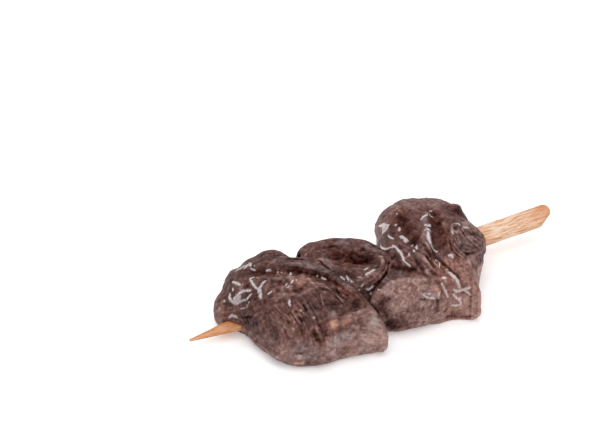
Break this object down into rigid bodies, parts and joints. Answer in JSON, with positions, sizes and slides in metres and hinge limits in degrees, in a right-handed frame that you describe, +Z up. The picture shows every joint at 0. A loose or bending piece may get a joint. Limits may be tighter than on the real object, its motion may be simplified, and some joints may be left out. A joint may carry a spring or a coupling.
{
  "type": "beef kebab skewer",
  "caption": "Folded chunks of browned, glazed beef threaded on a flat bamboo paddle skewer, held by its wide handle end.",
  "frame": {"origin": "under the middle of the whole, on the surface the kebab lies on", "axes": "+X along the skewer from its tip to its handle, +Y across it, +Z up"},
  "size_m": [0.1512, 0.0656, 0.0254],
  "materials": {
    "bamboo": "pale split bamboo, dry, with brown fibre streaks",
    "beef": "browned beef, half wet with glaze"
  },
  "bodies": {
    "root": {"stick": "bamboo", "meat_tip_side": "beef", "meat_handle_side": "beef"}
  },
  "joints": []
}
